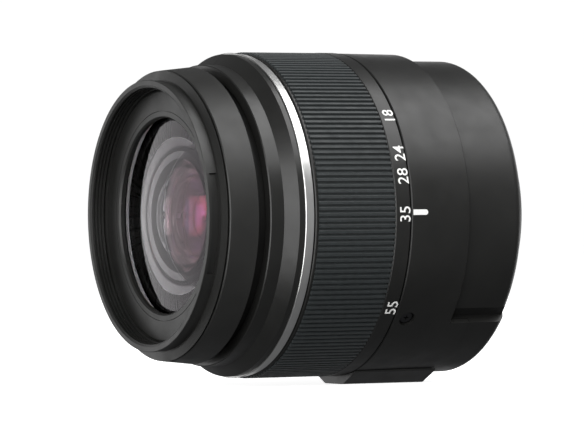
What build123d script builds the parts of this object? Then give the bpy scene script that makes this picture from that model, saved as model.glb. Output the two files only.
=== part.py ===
from build123d import *
from math import asin, atan2, cos, degrees, radians, sin, sqrt
import os

# Camera zoom lens, lying level, in millimetres.
# The optical axis is the Y axis. The front of the lens faces -Y and +Z is up.
# The origin is the centre of the face that seats on the camera.
# "Forward" below is the distance from that face towards the front.
# Angles run from +X towards +Z, as seen from in front of the lens.

# Clearances and small allowances
running_fit = 0.1        # radial gap between tubes that slide or turn
pin_fit = 0.12           # gap round a pin in its slot, on each side
seam_gap = 0.35          # open seam between the zoom ring and its neighbours
edge_break = 0.2         # small bevel on exposed edges
overrun = 1.0            # how far a cut runs past the wall that it opens

# Tubes, from the middle outwards
guide_inner_radius = 25.4
guide_wall = 1.2
cam_wall = 1.1
front_barrel_wall = 1.3
sleeve_gap = 1.0         # free space between the front barrel and the fixed sleeve
sleeve_wall = 1.3
zoom_wall = 1.9
grip_thickness = 1.2
scale_thickness = 1.25
web_height = 1.0         # webs that join the fixed sleeve to the outer barrel
barrel_wall = 2.15
barrel_taper = 0.15      # the outer barrel is this much slimmer at its rear end
cover_wall = 1.5
pad_height = 1.25        # lower part of the rear cover stands out by this much

guide_radius = guide_inner_radius + guide_wall
cam_inner_radius = guide_radius + running_fit
cam_radius = cam_inner_radius + cam_wall
front_inner_radius = cam_radius + running_fit
front_radius = front_inner_radius + front_barrel_wall
sleeve_inner_radius = front_radius + sleeve_gap
sleeve_radius = sleeve_inner_radius + sleeve_wall
zoom_inner_radius = sleeve_radius + running_fit
zoom_radius = zoom_inner_radius + zoom_wall
grip_radius = zoom_radius + grip_thickness
scale_radius = zoom_radius + scale_thickness
barrel_inner_radius = sleeve_radius + web_height
barrel_front_radius = barrel_inner_radius + barrel_wall
barrel_rear_radius = barrel_front_radius - barrel_taper
cover_inner_radius = sleeve_radius + running_fit
cover_radius = cover_inner_radius + cover_wall
pad_radius = cover_radius + pad_height

# Lengths along the axis, from the rear to the front
mount_thickness = 2.3
base_thickness = 2.0
cover_length = 15.1
barrel_length = 14.2
scale_length = 3.6
grip_length = 18.0
zoom_lip_length = 0.7
silver_length = 2.1
shroud_step_length = 1.3
shroud_bevel_length = 2.4
shroud_neck_length = 3.15
front_gap = 2.3          # open gap between the shroud and the focus ring
focus_ring_length = 6.5
collar_gap = 0.3
collar_length = 0.85
filter_neck_length = 2.65

base_front = mount_thickness + base_thickness
barrel_rear = cover_length
barrel_front = barrel_rear + barrel_length
zoom_rear = barrel_front + seam_gap
grip_rear = zoom_rear + scale_length
grip_front = grip_rear + grip_length
zoom_front = grip_front + zoom_lip_length
sleeve_front = zoom_front + running_fit
silver_rear = zoom_front + seam_gap
silver_front = silver_rear + silver_length
shroud_step = silver_front + shroud_step_length
shroud_bevel = shroud_step + shroud_bevel_length
shroud_front = shroud_bevel + shroud_neck_length
focus_rear = shroud_front + front_gap
focus_front = focus_rear + focus_ring_length
collar_rear = focus_front + collar_gap
collar_front = collar_rear + collar_length
filter_front = collar_front + filter_neck_length

# Motions
wide_turn = 36.7         # zoom ring turn from the stored place to the 18 mark, degrees
tele_turn = 34.5         # and the other way to the 55 mark, degrees
front_travel = 3.8448    # travel of the front barrel over the whole zoom turn
rear_travel = 14.7384    # travel of the rear lens group over the whole zoom turn
focus_turn = 75.0        # degrees
focus_travel = 2.3       # the front lens group moves back by this over the focus turn
iris_turn = 13.0         # turn of the aperture lever and iris ring, degrees
blade_swing = 28.3       # swing of each iris blade over that turn, degrees
switch_travel = 3.5
front_rate = front_travel / (wide_turn + tele_turn)
rear_rate = rear_travel / (wide_turn + tele_turn)

# Places round the axis, degrees
third_angle = 120
quarter_angle = 90
front_pin_angle = 30
rear_pin_angle = 90
zoom_key_angle = 110
cell_pin_angle = 60
focus_key_angle = cell_pin_angle - 22
bar_angle = 180          # the aperture bar at rest
gear_angle = 250         # the focus drive
panel_angle = -90
pad_half_angle = 47.7    # half width of the flush lower part of the rear cover
slot_upper_angle = -37.3
thirds = [index * third_angle for index in range(3)]
quarters = [index * quarter_angle for index in range(4)]

# Camera mount
throat_step = 3.0
bayonet_wall = 1.2
bayonet_length = 3.2
seat_recess_width = 3.3
seat_width = 2.4
seat_relief = 0.5        # the plate inside the seat lies this much further forward
tab_height = 1.3
tab_thickness = 1.3
tab_angle = 60
tab_place_angle = -8
mount_screw_head = 0.95
mount_screw_radius = 0.55
mount_screw_sink = 0.15
mount_screw_angle = 45
throat_radius = guide_inner_radius - throat_step
bayonet_radius = throat_radius + bayonet_wall
tab_radius = bayonet_radius + tab_height
seat_inner_radius = bayonet_radius + seat_recess_width
seat_radius = seat_inner_radius + seat_width
mount_screw_circle = (seat_inner_radius + seat_radius) / 2


def outward(angle):
    """Direction away from the axis at an angle round it."""
    return Vector(cos(radians(angle)), 0, sin(radians(angle)))


def spot(forward, radius, angle):
    """Point at a distance forward, a radius and an angle round the axis."""
    return Vector(radius * cos(radians(angle)), -forward, radius * sin(radians(angle)))


def half_plane(angle=90):
    """Plane that holds the axis; x runs forward and y runs outwards at the angle."""
    normal = (-sin(radians(angle)), 0, cos(radians(angle)))
    return Plane(origin=(0, 0, 0), x_dir=(0, -1, 0), z_dir=normal)


def facing(forward):
    """Plane across the axis that looks forward; x is +X and y is +Z."""
    return Plane.XZ.offset(forward)


def outside(forward, radius, angle):
    """Plane that looks outwards from a point; x runs forward."""
    return Plane(origin=spot(forward, radius, angle), x_dir=(0, -1, 0), z_dir=outward(angle))


def turned(points, mode=Mode.ADD):
    """Turn an outline of (forward, radius) points all the way round the axis."""
    with BuildSketch(half_plane()) as section:
        with BuildLine():
            Polyline(*points, close=True)
        make_face()
    revolve(section.sketch, axis=Axis.Y, mode=mode)


def sector(points, start, end, mode=Mode.ADD):
    """Turn an outline of (forward, radius) points from one angle up to another."""
    with BuildSketch(half_plane(end)) as section:
        with BuildLine():
            Polyline(*points, close=True)
        make_face()
    revolve(section.sketch, axis=Axis.Y, revolution_arc=end - start, mode=mode)


def box_outline(rear, front, inner, outer):
    """Four (forward, radius) points of a plain ring."""
    return (rear, inner), (front, inner), (front, outer), (rear, outer)


def ring(rear, front, inner, outer, mode=Mode.ADD):
    """Plain ring about the axis."""
    turned(box_outline(rear, front, inner, outer), mode)


def arc_ring(rear, front, inner, outer, start, end, mode=Mode.ADD):
    """Part of a plain ring between two angles."""
    sector(box_outline(rear, front, inner, outer), start, end, mode)


def pin(forward, angle, inner, outer, radius, mode=Mode.ADD):
    """Round pin or hole that points away from the axis."""
    with BuildSketch(outside(forward, inner, angle)) as section:
        Circle(radius)
    extrude(section.sketch, amount=outer - inner, mode=mode)


def post(rear, front, radius_from_axis, angle, radius, mode=Mode.ADD):
    """Round post or hole that is parallel to the axis."""
    place = spot(rear, radius_from_axis, angle)
    with BuildSketch(Plane(origin=place, x_dir=(1, 0, 0), z_dir=(0, -1, 0))) as section:
        Circle(radius)
    extrude(section.sketch, amount=front - rear, mode=mode)


def straight_slot(rear, front, angle, inner, outer, radius):
    """Slot along the axis through a tube wall, for pins between two places."""
    middle = (rear + front) / 2
    with BuildSketch(outside(middle, inner, angle)) as section:
        SlotCenterToCenter(front - rear, 2 * radius)
    extrude(section.sketch, amount=outer - inner, mode=Mode.SUBTRACT)


def round_slot(forward, start, end, inner, outer, radius):
    """Slot round a tube wall, for pins between two angles."""
    arc_ring(forward - radius, forward + radius, inner, outer, start, end, Mode.SUBTRACT)
    for angle in (start, end):
        pin(forward, angle, inner, outer, radius, Mode.SUBTRACT)


def cam_slot(start, end, rear, front, inner, outer, radius):
    """Slot along a screw line, for a pin that runs from (start, rear) to (end, front)."""
    slope = (front - rear) / (end - start)
    beyond = degrees(radius / inner) * (end - start) / abs(end - start)
    climb = front - rear + 2 * beyond * slope
    frame = Plane(origin=(0, -(rear - beyond * slope), 0), x_dir=outward(start - beyond),
                  z_dir=(0, -1, 0))
    lead = climb * 360 / abs(end - start + 2 * beyond)
    coil = Helix(lead, climb, (inner + outer) / 2, lefthand=end < start, mode=Mode.PRIVATE)
    route = frame.location * coil
    across = Plane(origin=route @ 0, x_dir=outward(start - beyond), z_dir=route % 0)
    with BuildSketch(across) as section:
        Rectangle(outer - inner, 2 * radius)
    sweep(section.sketch, path=route, is_frenet=True, mode=Mode.SUBTRACT)


def finish(builder, name):
    """Name a piece and write it to its own file."""
    builder.part.label = name
    export_step(builder.part, f"parts/{name}.step")


os.makedirs("parts", exist_ok=True)

# Camera mount ring with three bayonet tabs and a raised seat
with BuildPart() as mount_ring:
    ring(0, mount_thickness, throat_radius, seat_radius)
    ring(0, seat_relief, bayonet_radius, seat_inner_radius, Mode.SUBTRACT)
    ring(-bayonet_length, 0, throat_radius, bayonet_radius)
    for third in thirds:
        arc_ring(-bayonet_length, tab_thickness - bayonet_length, bayonet_radius, tab_radius,
                 tab_place_angle + third - tab_angle / 2,
                 tab_place_angle + third + tab_angle / 2)
    for quarter in quarters:
        angle = mount_screw_angle + quarter
        post(0, mount_thickness, mount_screw_circle, angle, mount_screw_radius, Mode.SUBTRACT)
        post(0, mount_screw_sink + mount_screw_head, mount_screw_circle, angle,
             mount_screw_head, Mode.SUBTRACT)
finish(mount_ring, "mount_ring")

# Four screws that hold the mount ring
screw_cross_length = 1.1
screw_cross_width = 0.26
screw_cross_depth = 0.4
mount_screw_front = base_front - edge_break
with BuildPart() as mount_screws:
    for quarter in quarters:
        angle = mount_screw_angle + quarter
        post(mount_screw_sink, mount_screw_sink + mount_screw_head, mount_screw_circle, angle,
             mount_screw_head)
        post(mount_screw_sink + mount_screw_head, mount_screw_front, mount_screw_circle, angle,
             mount_screw_radius)
        place = spot(mount_screw_sink, mount_screw_circle, angle)
        with BuildSketch(Plane(origin=place, x_dir=outward(angle), z_dir=(0, -1, 0))) as cross:
            Rectangle(screw_cross_length, screw_cross_width)
            Rectangle(screw_cross_width, screw_cross_length)
        extrude(cross.sketch, amount=screw_cross_depth, mode=Mode.SUBTRACT)
finish(mount_screws, "mount_screws")

# Guide barrel: the fixed inner tube, with the base plate that carries the mount ring
base_rim_radius = sleeve_radius - 0.4 * sleeve_wall
base_bevel = 0.7
lever_seat_depth = 0.7
lever_lip_thickness = 0.7
cam_setback = 13.7
cam_end_gap = 0.85
cam_ledge_thickness = 1.0
clip_thickness = 0.8
clip_groove_depth = 0.5
guide_end_length = 1.8
front_pin_setback = 7.1
front_pin_radius = 1.15
rear_pin_setback = 23.1
rear_pin_radius = 1.15
lever_seat_radius = throat_radius + lever_seat_depth
cam_rear = base_front + cam_setback
cam_front = zoom_front - cam_end_gap
clip_rear = cam_front + running_fit
guide_front = cam_front + guide_end_length
front_pin_forward = cam_front - front_pin_setback
rear_pin_forward = cam_front - rear_pin_setback
with BuildPart() as guide_barrel:
    turned([(mount_thickness, lever_seat_radius),
            (mount_thickness, base_rim_radius - base_bevel),
            (mount_thickness + base_bevel, base_rim_radius), (base_front, base_rim_radius),
            (base_front, guide_radius), (guide_front, guide_radius),
            (guide_front, guide_inner_radius), (base_front, guide_inner_radius),
            (base_front, throat_radius), (base_front - lever_lip_thickness, throat_radius),
            (base_front - lever_lip_thickness, lever_seat_radius)])
    ring(cam_rear - running_fit - cam_ledge_thickness, cam_rear - running_fit, guide_radius,
         cam_radius)
    ring(clip_rear, clip_rear + clip_thickness, guide_radius - clip_groove_depth,
         guide_radius, Mode.SUBTRACT)
    for third in thirds:
        straight_slot(front_pin_forward - wide_turn * front_rate - pin_fit,
                      front_pin_forward + tele_turn * front_rate + pin_fit,
                      front_pin_angle + third, guide_inner_radius - overrun,
                      guide_radius + running_fit / 2, front_pin_radius + pin_fit)
        straight_slot(rear_pin_forward - wide_turn * rear_rate - pin_fit,
                      rear_pin_forward + tele_turn * rear_rate + pin_fit,
                      rear_pin_angle + third, guide_inner_radius - overrun,
                      guide_radius + running_fit / 2, rear_pin_radius + pin_fit)
    for quarter in quarters:
        post(mount_thickness, mount_screw_front, mount_screw_circle,
             mount_screw_angle + quarter, mount_screw_radius, Mode.SUBTRACT)
finish(guide_barrel, "guide_barrel")

# Open spring clip that keeps the cam barrel on the guide barrel
clip_height = 1.3
clip_opening_angle = 30
full_turn = 360
with BuildPart() as cam_clip:
    arc_ring(clip_rear, clip_rear + clip_thickness, guide_radius - clip_groove_depth,
             guide_radius - clip_groove_depth + clip_height, clip_opening_angle, full_turn)
finish(cam_clip, "cam_clip")

# Cam barrel: turns with the zoom ring and drives both lens groups
key_setback = 6.35
key_radius = 1.1
key_forward = zoom_rear + key_setback
with BuildPart() as cam_barrel:
    ring(cam_rear, cam_front, cam_inner_radius, cam_radius)
    for third in thirds:
        place = front_pin_angle + third
        cam_slot(place + wide_turn, place - tele_turn,
                 front_pin_forward - wide_turn * front_rate,
                 front_pin_forward + tele_turn * front_rate,
                 cam_inner_radius - overrun / 2, cam_radius + overrun / 2,
                 front_pin_radius + pin_fit)
        place = rear_pin_angle + third
        cam_slot(place + wide_turn, place - tele_turn,
                 rear_pin_forward - wide_turn * rear_rate,
                 rear_pin_forward + tele_turn * rear_rate,
                 cam_inner_radius - overrun / 2, cam_radius + overrun / 2,
                 rear_pin_radius + pin_fit)
        pin(key_forward, zoom_key_angle + third, cam_inner_radius - overrun,
            cam_radius + overrun, key_radius, Mode.SUBTRACT)
finish(cam_barrel, "cam_barrel")

# Fixed sleeve: carries the zoom ring, and joins the guide barrel to the outer barrel
web_setback = 8.4
web_rear = barrel_rear + web_setback
web_front = barrel_front - edge_break
key_slot_margin_angle = 2.5
with BuildPart() as fixed_sleeve:
    ring(base_front, sleeve_front, sleeve_inner_radius, sleeve_radius)
    ring(web_rear, web_front, sleeve_radius, barrel_inner_radius)
    for third in thirds:
        place = zoom_key_angle + third
        round_slot(key_forward, place - wide_turn - key_slot_margin_angle,
                   place + tele_turn + key_slot_margin_angle,
                   sleeve_inner_radius - sleeve_gap / 2,
                   sleeve_radius + running_fit / 2, key_radius + pin_fit)
finish(fixed_sleeve, "fixed_sleeve")

# Rear cover with its rounded shoulder, flush lower part and narrow side slot
shoulder_length = 3.0
cover_rear = edge_break
cover_seat_gap = 0.15
cover_bore = seat_radius + cover_seat_gap
cover_round = 4.7
pad_rear = 0.6
pad_front = 10.2
slot_depth = 1.0
slot_angles = (slot_upper_angle, panel_angle + pad_half_angle)


def shoulder(rear, radius, drop):
    """Outline of the cover's outside, from the seam back round its rear edge."""
    with BuildSketch(half_plane()) as section:
        with BuildLine():
            Polyline((rear, radius - drop), (rear, 0), (cover_length, 0),
                     (cover_length, radius), (rear + shoulder_length, radius))
            EllipticalCenterArc((rear + shoulder_length, radius - drop), shoulder_length,
                                drop, start_angle=quarter_angle, arc_size=quarter_angle)
        make_face()
    return section.sketch


def cover_inside():
    """Hollow of the rear cover."""
    turned([(0, 0), (0, cover_bore), (mount_thickness, cover_bore),
            (mount_thickness, base_rim_radius - base_bevel),
            (mount_thickness + base_bevel, base_rim_radius + running_fit),
            (base_front, cover_inner_radius),
            (cover_length + overrun, cover_inner_radius), (cover_length + overrun, 0)],
           Mode.SUBTRACT)


with BuildPart() as lower_pad:
    revolve(shoulder(pad_rear, pad_radius, cover_round), axis=Axis.Y)
    ring(pad_front, cover_length, cover_radius, pad_radius, Mode.SUBTRACT)
    with BuildSketch(facing(0)) as wedge:
        with BuildLine():
            Polyline((0, 0), (2 * pad_radius * cos(radians(panel_angle + pad_half_angle)),
                              2 * pad_radius * sin(radians(panel_angle + pad_half_angle))),
                     (0, -4 * pad_radius),
                     (2 * pad_radius * cos(radians(panel_angle - pad_half_angle)),
                      2 * pad_radius * sin(radians(panel_angle - pad_half_angle))), close=True)
        make_face()
    extrude(wedge.sketch, amount=cover_length, mode=Mode.INTERSECT)

with BuildPart() as rear_cover:
    revolve(shoulder(cover_rear, cover_radius, cover_round), axis=Axis.Y)
    add(lower_pad.part)
    arc_ring(-overrun, cover_length + overrun, cover_radius - slot_depth, pad_radius + overrun,
             slot_angles[1], slot_angles[0], Mode.SUBTRACT)
    cover_inside()
finish(rear_cover, "rear_cover")

# Fixed outer barrel, with the part that reaches back over the lower side of the cover
screw_setback = 2.7
screw_angles = (-39.7, -140.3)
screw_head_radius = 1.35
screw_well_radius = 1.75
screw_well_depth = 1.0
screw_shank_radius = 0.6
switch_forward = 21.6
stem_half_width = 0.8
stem_half_length = 1.5
stem_fit = 0.25
screw_forward = web_rear + screw_setback
with BuildPart() as fixed_barrel:
    turned([(barrel_rear, barrel_inner_radius), (barrel_front, barrel_inner_radius),
            (barrel_front, barrel_front_radius - edge_break),
            (barrel_front - edge_break, barrel_front_radius),
            (barrel_rear + edge_break, barrel_rear_radius),
            (barrel_rear, barrel_rear_radius - edge_break)])
    arc_ring(pad_front + seam_gap / 4, barrel_rear + edge_break, cover_radius + running_fit,
             barrel_rear_radius, panel_angle - pad_half_angle, panel_angle + pad_half_angle)
    for angle in screw_angles:
        pin(screw_forward, angle, barrel_inner_radius, barrel_front_radius + overrun,
            screw_shank_radius, Mode.SUBTRACT)
        pin(screw_forward, angle, barrel_front_radius - screw_well_depth,
            barrel_front_radius + overrun, screw_well_radius, Mode.SUBTRACT)
    with BuildSketch(outside(switch_forward - switch_travel / 2, barrel_inner_radius - overrun,
                             panel_angle)) as slot:
        Rectangle(switch_travel + 2 * (stem_half_length + stem_fit),
                  2 * (stem_half_width + stem_fit))
    extrude(slot.sketch, amount=barrel_wall + 2 * overrun, mode=Mode.SUBTRACT)
finish(fixed_barrel, "fixed_barrel")

# Two screws through the outer barrel into the webs of the fixed sleeve
with BuildPart() as barrel_screws:
    for angle in screw_angles:
        floor = barrel_front_radius - screw_well_depth
        pin(screw_forward, angle, barrel_inner_radius, floor, screw_shank_radius)
        pin(screw_forward, angle, floor, floor + screw_well_depth / 2, screw_head_radius)
        with BuildSketch(outside(screw_forward, floor + screw_well_depth / 2, angle)) as cross:
            Rectangle(screw_cross_length, screw_cross_width)
            Rectangle(screw_cross_width, screw_cross_length)
        extrude(cross.sketch, amount=-screw_cross_depth, mode=Mode.SUBTRACT)
finish(barrel_screws, "barrel_screws")

# Raised panel on the underside for the focus mode switch
panel_rear = 9.5
panel_front = barrel_front
panel_half_width = 9.4
panel_flat_half_width = 3.8
panel_drop = 1.75        # how far the flat stands out from the barrel
panel_edge_depth = 0.35
panel_seat_gap = 0.05
switch_half_width = 2.2
switch_half_length = 2.6
switch_recess = 1.2
panel_low = barrel_front_radius + panel_drop
panel_edge_height = sqrt(barrel_front_radius ** 2 - panel_half_width ** 2) + panel_edge_depth
with BuildPart() as switch_panel:
    with BuildSketch(facing(panel_rear)) as section:
        with BuildLine():
            Polyline((-panel_half_width, -cover_radius + panel_drop),
                     (-panel_half_width, -panel_edge_height),
                     (-panel_flat_half_width, -panel_low), (panel_flat_half_width, -panel_low),
                     (panel_half_width, -panel_edge_height),
                     (panel_half_width, -cover_radius + panel_drop), close=True)
        make_face()
        fillet(section.vertices().group_by(Axis.Y)[0], panel_flat_half_width / 2)
    extrude(section.sketch, amount=panel_front - panel_rear)
    turned([(0, 0), (0, barrel_rear_radius + panel_seat_gap),
            (barrel_rear, barrel_rear_radius + panel_seat_gap),
            (barrel_front, barrel_front_radius + panel_seat_gap),
            (barrel_front + overrun, barrel_front_radius + panel_seat_gap),
            (barrel_front + overrun, 0)], Mode.SUBTRACT)
    with BuildSketch(outside(switch_forward - switch_travel / 2, panel_low - switch_recess,
                             panel_angle)) as slot:
        RectangleRounded(switch_travel + 2 * (switch_half_length + pin_fit),
                         2 * (switch_half_width + pin_fit), switch_half_width / 3)
    extrude(slot.sketch, amount=switch_recess + overrun, mode=Mode.SUBTRACT)
    with BuildSketch(outside(switch_forward - switch_travel / 2, barrel_inner_radius,
                             panel_angle)) as slot:
        Rectangle(switch_travel + 2 * (stem_half_length + stem_fit),
                  2 * (stem_half_width + stem_fit))
    extrude(slot.sketch, amount=barrel_wall + panel_drop, mode=Mode.SUBTRACT)
finish(switch_panel, "switch_panel")

# Sliding knob of the focus mode switch, with its stem through the barrel
knob_sink = 0.1
knob_ridges = 3
ridge_half_width = 0.25
with BuildPart() as focus_switch:
    with BuildSketch(outside(switch_forward, panel_low - switch_recess + running_fit,
                             panel_angle)) as base:
        RectangleRounded(2 * switch_half_length, 2 * switch_half_width, switch_half_width / 3)
    extrude(base.sketch, amount=switch_recess - running_fit - knob_sink)
    for step in range(knob_ridges):
        shift = (step - (knob_ridges - 1) / 2) * switch_half_length / 2
        with BuildSketch(outside(switch_forward + shift, panel_low - knob_sink,
                                 panel_angle)) as groove:
            Rectangle(2 * ridge_half_width, 2 * switch_half_width)
        extrude(groove.sketch, amount=-ridge_half_width, mode=Mode.SUBTRACT)
    with BuildSketch(outside(switch_forward, barrel_inner_radius, panel_angle)) as stem:
        Rectangle(2 * stem_half_length, 2 * stem_half_width)
    extrude(stem.sketch, amount=panel_low - switch_recess + running_fit - barrel_inner_radius)
finish(focus_switch, "focus_switch")

# Zoom ring with the scale band at its rear
with BuildPart() as zoom_ring:
    turned([(zoom_rear, zoom_inner_radius), (zoom_rear, scale_radius - edge_break),
            (zoom_rear + edge_break, scale_radius), (grip_rear - edge_break, scale_radius),
            (grip_rear, scale_radius - edge_break), (grip_rear, zoom_radius),
            (grip_front, zoom_radius), (grip_front, grip_radius - 2 * edge_break),
            (zoom_front - edge_break, grip_radius - 2 * edge_break),
            (zoom_front, grip_radius - 3 * edge_break), (zoom_front, zoom_inner_radius)])
    for third in thirds:
        pin(key_forward, zoom_key_angle + third, zoom_inner_radius - overrun / 2,
            zoom_radius + overrun / 2, key_radius, Mode.SUBTRACT)
finish(zoom_ring, "zoom_ring")

# Three keys that join the zoom ring to the cam barrel
with BuildPart() as zoom_keys:
    for third in thirds:
        pin(key_forward, zoom_key_angle + third, cam_inner_radius, zoom_radius - running_fit,
            key_radius)
finish(zoom_keys, "zoom_keys")

# Ribbed rubber sleeve on the zoom ring
rib_count = 180
rib_depth = 0.55
rib_top_share = 0.42
rib_floor_share = 0.3
rib_step = 360 / rib_count


def rib_corner(index, share, radius):
    """Corner of a rib: a share of one step before or after the rib's middle."""
    angle = radians((index + share / 2) * rib_step)
    return radius * cos(angle), radius * sin(angle)


rib_corners = []
for index in range(rib_count):
    rib_corners.append(rib_corner(index, rib_floor_share - 1, grip_radius - rib_depth))
    rib_corners.append(rib_corner(index, -rib_top_share, grip_radius))
    rib_corners.append(rib_corner(index, rib_top_share, grip_radius))
    rib_corners.append(rib_corner(index, 1 - rib_floor_share, grip_radius - rib_depth))
with BuildPart() as grip_rubber:
    with BuildSketch(facing(grip_rear)) as section:
        with BuildLine():
            Polyline(*rib_corners, close=True)
        make_face()
        Circle(zoom_radius, mode=Mode.SUBTRACT)
    extrude(section.sketch, amount=grip_length)
finish(grip_rubber, "grip_rubber")

# Front shroud: fixed on the end of the sleeve, keeps the zoom ring in place
silver_seat_wall = 3.0
silver_thickness = 1.1
silver_flare = 0.25
silver_bevel = 0.1
shroud_wall = 1.05
shroud_neck_wall = 1.75
shroud_lip_thickness = 1.7
silver_inner_radius = sleeve_inner_radius + silver_seat_wall
silver_rear_radius = silver_inner_radius + silver_thickness
silver_front_radius = silver_rear_radius + silver_flare
shroud_radius = silver_inner_radius + shroud_wall
shroud_neck_radius = sleeve_inner_radius + shroud_neck_wall
shroud_opening_radius = front_radius + 0.3 * sleeve_gap
with BuildPart() as front_shroud:
    turned([(sleeve_front, sleeve_inner_radius), (sleeve_front, silver_inner_radius),
            (silver_front, silver_inner_radius), (silver_front, shroud_radius),
            (shroud_step, shroud_radius), (shroud_bevel, shroud_neck_radius),
            (shroud_front - edge_break, shroud_neck_radius),
            (shroud_front, shroud_neck_radius - edge_break),
            (shroud_front, shroud_opening_radius + edge_break),
            (shroud_front - edge_break, shroud_opening_radius),
            (shroud_front - shroud_lip_thickness, shroud_opening_radius),
            (shroud_front - shroud_lip_thickness, sleeve_inner_radius)])
finish(front_shroud, "front_shroud")

# Silver trim ring
with BuildPart() as silver_ring:
    turned([(silver_rear, silver_inner_radius), (silver_rear, silver_rear_radius - silver_bevel),
            (silver_rear + silver_bevel, silver_rear_radius),
            (silver_front - silver_bevel, silver_front_radius),
            (silver_front, silver_front_radius - silver_bevel),
            (silver_front, silver_inner_radius)])
finish(silver_ring, "silver_ring")

# Front barrel: slides along the guide barrel and carries the whole front end
front_tail_length = 3.0
front_web_gap = 0.12     # from the guide barrel, with the front barrel drawn in
front_web_thickness = 1.2
snout_step = 12.3
snout_wall = 2.7
snout_gap = 0.4
cell_pin_radius = 1.0
focus_key_setback = 1.95
focus_key_radius = 1.0
focus_slot_margin_angle = 3
idler_post_radius = 0.8
idler_post_length = 2.1
motor_radius = 3.2
motor_step = 2.4
motor_shaft_radius = 0.5
filter_ledge_setback = 5.25
band_gap = 0.3
band_length = 3.4
gear_ring_step = 1.3
ring_teeth = 133
idler_teeth = 16
pinion_teeth = 7
front_barrel_rear = front_pin_forward - front_tail_length
front_web_rear = guide_front + wide_turn * front_rate + front_web_gap
front_web_front = front_web_rear + front_web_thickness
snout_bore = guide_inner_radius - snout_step
web_opening_radius = snout_bore + snout_wall + snout_gap
filter_ledge_rear = filter_front - filter_ledge_setback
band_front = filter_ledge_rear - band_gap
band_rear = band_front - band_length
cell_pin_forward = (band_rear + band_front) / 2
focus_key_forward = focus_rear + focus_key_setback
ring_pitch_radius = front_inner_radius - gear_ring_step
gear_module = 2 * ring_pitch_radius / ring_teeth
idler_pitch_radius = gear_module * idler_teeth / 2
pinion_pitch_radius = gear_module * pinion_teeth / 2
gear_centres = idler_pitch_radius + pinion_pitch_radius
idler_radius_from_axis = ring_pitch_radius - idler_pitch_radius
motor_radius_from_axis = idler_radius_from_axis - motor_step
motor_offset = degrees(2 * asin(sqrt(
    (gear_centres ** 2 - (idler_radius_from_axis - motor_radius_from_axis) ** 2)
    / (4 * idler_radius_from_axis * motor_radius_from_axis))))
motor_angle = gear_angle + motor_offset
with BuildPart() as front_barrel:
    ring(front_barrel_rear, collar_rear, front_inner_radius, front_radius)
    ring(front_web_rear, front_web_front, web_opening_radius, front_inner_radius)
    for third in thirds:
        pin(front_pin_forward, front_pin_angle + third, front_inner_radius - overrun / 2,
            front_radius + overrun / 2, front_pin_radius, Mode.SUBTRACT)
        straight_slot(cell_pin_forward - focus_travel - pin_fit, cell_pin_forward + pin_fit,
                      cell_pin_angle + third, front_inner_radius - overrun / 2,
                      front_radius + overrun / 2, cell_pin_radius + pin_fit)
        round_slot(focus_key_forward,
                   focus_key_angle + third - focus_turn - focus_slot_margin_angle,
                   focus_key_angle + third + focus_slot_margin_angle,
                   front_inner_radius - overrun / 2, front_radius + overrun / 2,
                   focus_key_radius + pin_fit)
    post(front_web_front, front_web_front + idler_post_length, idler_radius_from_axis,
         gear_angle, idler_post_radius)
    post(front_web_rear, front_web_front, motor_radius_from_axis, motor_angle,
         motor_shaft_radius + pin_fit, Mode.SUBTRACT)
finish(front_barrel, "front_barrel")

# Three followers on the front barrel; they run in the cam barrel and the guide barrel
with BuildPart() as front_followers:
    for third in thirds:
        pin(front_pin_forward, front_pin_angle + third, guide_inner_radius, front_radius,
            front_pin_radius)
finish(front_followers, "front_followers")

# Focus ring at the front of the front barrel
focus_wall = 2.1
focus_taper = 0.65
focus_key_depth = 0.7
focus_inner_radius = front_radius + running_fit
focus_rear_radius = focus_inner_radius + focus_wall
focus_front_radius = focus_rear_radius - focus_taper
with BuildPart() as focus_ring:
    turned([(focus_rear, focus_inner_radius), (focus_rear, focus_rear_radius - edge_break),
            (focus_rear + edge_break, focus_rear_radius),
            (focus_front - edge_break, focus_front_radius),
            (focus_front, focus_front_radius - edge_break), (focus_front, focus_inner_radius)])
    for third in thirds:
        pin(focus_key_forward, focus_key_angle + third, focus_inner_radius - overrun / 2,
            focus_inner_radius + focus_key_depth, focus_key_radius, Mode.SUBTRACT)
finish(focus_ring, "focus_ring")

# Focus cam ring inside the front barrel: three screw slots, and gear teeth at its rear
focus_cam_wall = 0.8
gear_face_width = 1.7
toothed_length = 2.0
tooth_base_share = 0.52
tooth_tip_share = 0.26
tooth_height = 0.9 * gear_module
focus_cam_rear = front_web_front + 2 * running_fit
focus_cam_front = filter_ledge_rear - 2 * running_fit
focus_cam_radius = front_inner_radius - running_fit
focus_cam_inner_radius = focus_cam_radius - focus_cam_wall
gear_rear = focus_cam_rear + running_fit


def tooth_point(index, share, radius, teeth, phase, centre=(0, 0)):
    """Corner of one gear tooth; the share is of a tooth step, from the tooth's middle."""
    angle = radians(phase + (index + share / 2) * 360 / teeth)
    return centre[0] + radius * cos(angle), centre[1] + radius * sin(angle)


def gear_outline(teeth, root, tip, phase, centre=(0, 0)):
    """Corners of a whole ring of straight-sided teeth."""
    corners = []
    for index in range(teeth):
        corners.append(tooth_point(index, -tooth_base_share, root, teeth, phase, centre))
        corners.append(tooth_point(index, -tooth_tip_share, tip, teeth, phase, centre))
        corners.append(tooth_point(index, tooth_tip_share, tip, teeth, phase, centre))
        corners.append(tooth_point(index, tooth_base_share, root, teeth, phase, centre))
    return corners


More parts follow.
